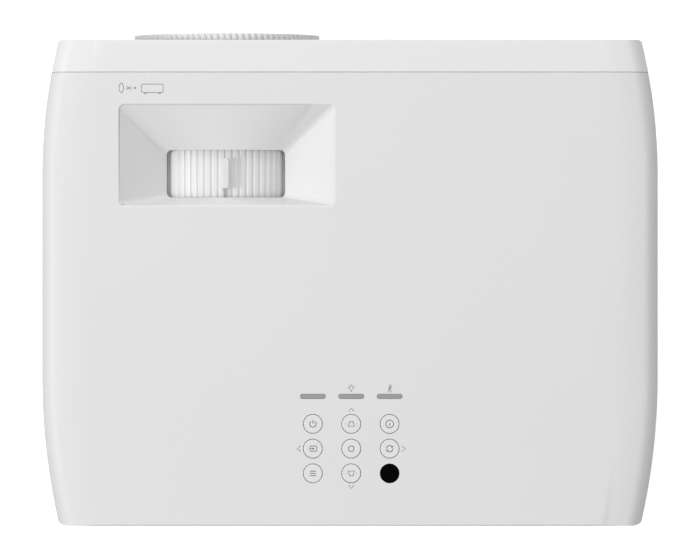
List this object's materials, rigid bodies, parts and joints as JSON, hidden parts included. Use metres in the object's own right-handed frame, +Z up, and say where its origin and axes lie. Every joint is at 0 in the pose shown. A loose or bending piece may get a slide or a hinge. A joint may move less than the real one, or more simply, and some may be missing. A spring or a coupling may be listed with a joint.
{
  "type": "data projector",
  "caption": "White office projector case with a ribbed zoom ring in a sloped top recess, a toothed focus ring, round top keys, side and front vents, rear sockets and screw feet.",
  "frame": {"origin": "centre of the base of the bounding box, on the surface the feet stand on", "axes": "+Z up, -Y out of the lens, +X towards the lens side; the row stands on its feet"},
  "size_m": [0.337, 0.2672, 0.119],
  "materials": {
    "case_white": "fine textured white moulding",
    "bezel_white": "fine textured white moulding, a shade brighter",
    "grille_white": "fine textured white moulding",
    "ring_white": "satin white moulding",
    "key_white": "satin white with thin grey printed symbols",
    "bar_grey": "frosted grey light guide",
    "window_black": "glossy black infrared window",
    "panel_grey": "dark grey moulding",
    "inner_black": "black moulding",
    "board_green": "green solder mask",
    "socket_metal": "plated sheet steel",
    "blade_metal": "plated brass",
    "screw_steel": "blackened steel",
    "cone_paper": "dark speaker cone paper",
    "alloy_cast": "die-cast alloy",
    "alloy_fin": "extruded aluminium",
    "phosphor": "coated disc",
    "glass_coated": "coated optical glass",
    "pad_rubber": "black rubber"
  },
  "bodies": {
    "case": {"top_cover": "case_white", "front_bezel": "bezel_white", "bottom_cover": "case_white", "rear_panel": "panel_grey", "side_grille_left": "grille_white", "side_grille_right": "grille_white", "case_screws": "screw_steel", "remote_window_top": "window_black", "remote_window_front": "window_black", "remote_receivers": "inner_black", "status_bars": "bar_grey", "keypad_board": "board_green", "key_switches": "socket_metal", "main_board": "board_green", "power_board": "board_green", "board_parts": "inner_black", "hdmi_sockets": "socket_metal", "d_sub_sockets": "socket_metal", "network_socket": "inner_black", "usb_socket": "socket_metal", "audio_sockets": "inner_black", "power_inlet": "inner_black", "power_inlet_blades": "blade_metal", "speaker_frame": "inner_black", "speaker_cone": "cone_paper", "intake_fan_frame": "inner_black", "exhaust_fan_frame": "inner_black", "engine_housing": "alloy_cast", "light_source_housing": "alloy_cast", "laser_module": "alloy_cast", "laser_heatsink": "alloy_fin", "wheel_motor": "inner_black", "light_rod": "glass_coated", "imager_chip": "inner_black", "imager_board": "board_green", "imager_heatsink": "alloy_fin", "lens_barrel": "inner_black"},
    "focus_ring": {"focus_ring": "ring_white"},
    "front_lens_group": {"front_lens_cell": "inner_black", "front_lens": "glass_coated"},
    "zoom_ring": {"zoom_ring": "ring_white"},
    "zoom_lens_group": {"zoom_lens_cell": "inner_black", "zoom_lens": "glass_coated"},
    "intake_rotor": {"intake_fan_rotor": "inner_black"},
    "exhaust_rotor": {"exhaust_fan_rotor": "inner_black"},
    "wheel": {"phosphor_wheel": "phosphor"},
    "key_power": {"key_power": "key_white"},
    "key_up": {"key_up": "key_white"},
    "key_info": {"key_info": "key_white"},
    "key_source": {"key_source": "key_white"},
    "key_enter": {"key_enter": "key_white"},
    "key_resync": {"key_resync": "key_white"},
    "key_menu": {"key_menu": "key_white"},
    "key_down": {"key_down": "key_white"},
    "front_pad": {"front_foot_pad": "pad_rubber"},
    "front_screw": {"front_foot_screw": "case_white"},
    "rear_left_pad": {"rear_left_foot_pad": "pad_rubber"},
    "rear_left_screw": {"rear_left_foot_screw": "case_white"},
    "rear_right_pad": {"rear_right_foot_pad": "pad_rubber"},
    "rear_right_screw": {"rear_right_foot_screw": "case_white"}
  },
  "joints": [
    {"name": "focus_turn", "type": "hinge", "parent": "case", "child": "focus_ring", "pos_m": [0.0675, -0.12355, 0.064], "axis": [0, 1, 0], "range_deg": [-50, 50]},
    {"name": "focus_travel", "type": "slide", "parent": "case", "child": "front_lens_group", "axis": [0, 1, 0], "range_m": [-0.002, 0.002]},
    {"name": "zoom_turn", "type": "hinge", "parent": "case", "child": "zoom_ring", "pos_m": [0.0675, -0.05745, 0.064], "axis": [0, 1, 0], "range_deg": [-25, 25]},
    {"name": "zoom_travel", "type": "slide", "parent": "case", "child": "zoom_lens_group", "axis": [0, 1, 0], "range_m": [-0.004, 0.004]},
    {"name": "intake_spin", "type": "hinge", "parent": "case", "child": "intake_rotor", "pos_m": [0.1515, 0.03, 0.064], "axis": [1, 0, 0], "continuous": true},
    {"name": "exhaust_spin", "type": "hinge", "parent": "case", "child": "exhaust_rotor", "pos_m": [-0.11, -0.11645, 0.064], "axis": [0, 1, 0], "continuous": true},
    {"name": "wheel_spin", "type": "hinge", "parent": "case", "child": "wheel", "pos_m": [-0.017, -0.00295, 0.046], "axis": [1, 0, 0], "continuous": true},
    {"name": "key_power_press", "type": "slide", "parent": "case", "child": "key_power", "axis": [0, 0, -1], "range_m": [0, 0.0008], "stiffness_N_per_m": 1200},
    {"name": "key_up_press", "type": "slide", "parent": "case", "child": "key_up", "axis": [0, 0, -1], "range_m": [0, 0.0008], "stiffness_N_per_m": 1200},
    {"name": "key_info_press", "type": "slide", "parent": "case", "child": "key_info", "axis": [0, 0, -1], "range_m": [0, 0.0008], "stiffness_N_per_m": 1200},
    {"name": "key_source_press", "type": "slide", "parent": "case", "child": "key_source", "axis": [0, 0, -1], "range_m": [0, 0.0008], "stiffness_N_per_m": 1200},
    {"name": "key_enter_press", "type": "slide", "parent": "case", "child": "key_enter", "axis": [0, 0, -1], "range_m": [0, 0.0008], "stiffness_N_per_m": 1200},
    {"name": "key_resync_press", "type": "slide", "parent": "case", "child": "key_resync", "axis": [0, 0, -1], "range_m": [0, 0.0008], "stiffness_N_per_m": 1200},
    {"name": "key_menu_press", "type": "slide", "parent": "case", "child": "key_menu", "axis": [0, 0, -1], "range_m": [0, 0.0008], "stiffness_N_per_m": 1200},
    {"name": "key_down_press", "type": "slide", "parent": "case", "child": "key_down", "axis": [0, 0, -1], "range_m": [0, 0.0008], "stiffness_N_per_m": 1200},
    {"name": "front_foot_travel", "type": "slide", "parent": "case", "child": "front_pad", "axis": [0, 0, -1], "range_m": [0, 0.012]},
    {"name": "front_foot_turn", "type": "hinge", "parent": "front_pad", "child": "front_screw", "pos_m": [0, -0.09495, 0.006], "axis": [0, 0, 1], "range_deg": [0, 1081]},
    {"name": "rear_left_foot_travel", "type": "slide", "parent": "case", "child": "rear_left_pad", "axis": [0, 0, -1], "range_m": [0, 0.012]},
    {"name": "rear_left_foot_turn", "type": "hinge", "parent": "rear_left_pad", "child": "rear_left_screw", "pos_m": [-0.1405, 0.10955, 0.006], "axis": [0, 0, 1], "range_deg": [0, 1081]},
    {"name": "rear_right_foot_travel", "type": "slide", "parent": "case", "child": "rear_right_pad", "axis": [0, 0, -1], "range_m": [0, 0.012]},
    {"name": "rear_right_foot_turn", "type": "hinge", "parent": "rear_right_pad", "child": "rear_right_screw", "pos_m": [0.1405, 0.10955, 0.006], "axis": [0, 0, 1], "range_deg": [0, 1081]}
  ],
  "couplings": [
    {"joint": "focus_travel", "follows": "focus_turn", "m_per_rad": 0.0022},
    {"joint": "zoom_travel", "follows": "zoom_turn", "m_per_rad": 0.009},
    {"joint": "front_foot_turn", "follows": "front_foot_travel", "rad_per_m": 1570.8},
    {"joint": "rear_left_foot_turn", "follows": "rear_left_foot_travel", "rad_per_m": 1570.8},
    {"joint": "rear_right_foot_turn", "follows": "rear_right_foot_travel", "rad_per_m": 1570.8}
  ]
}
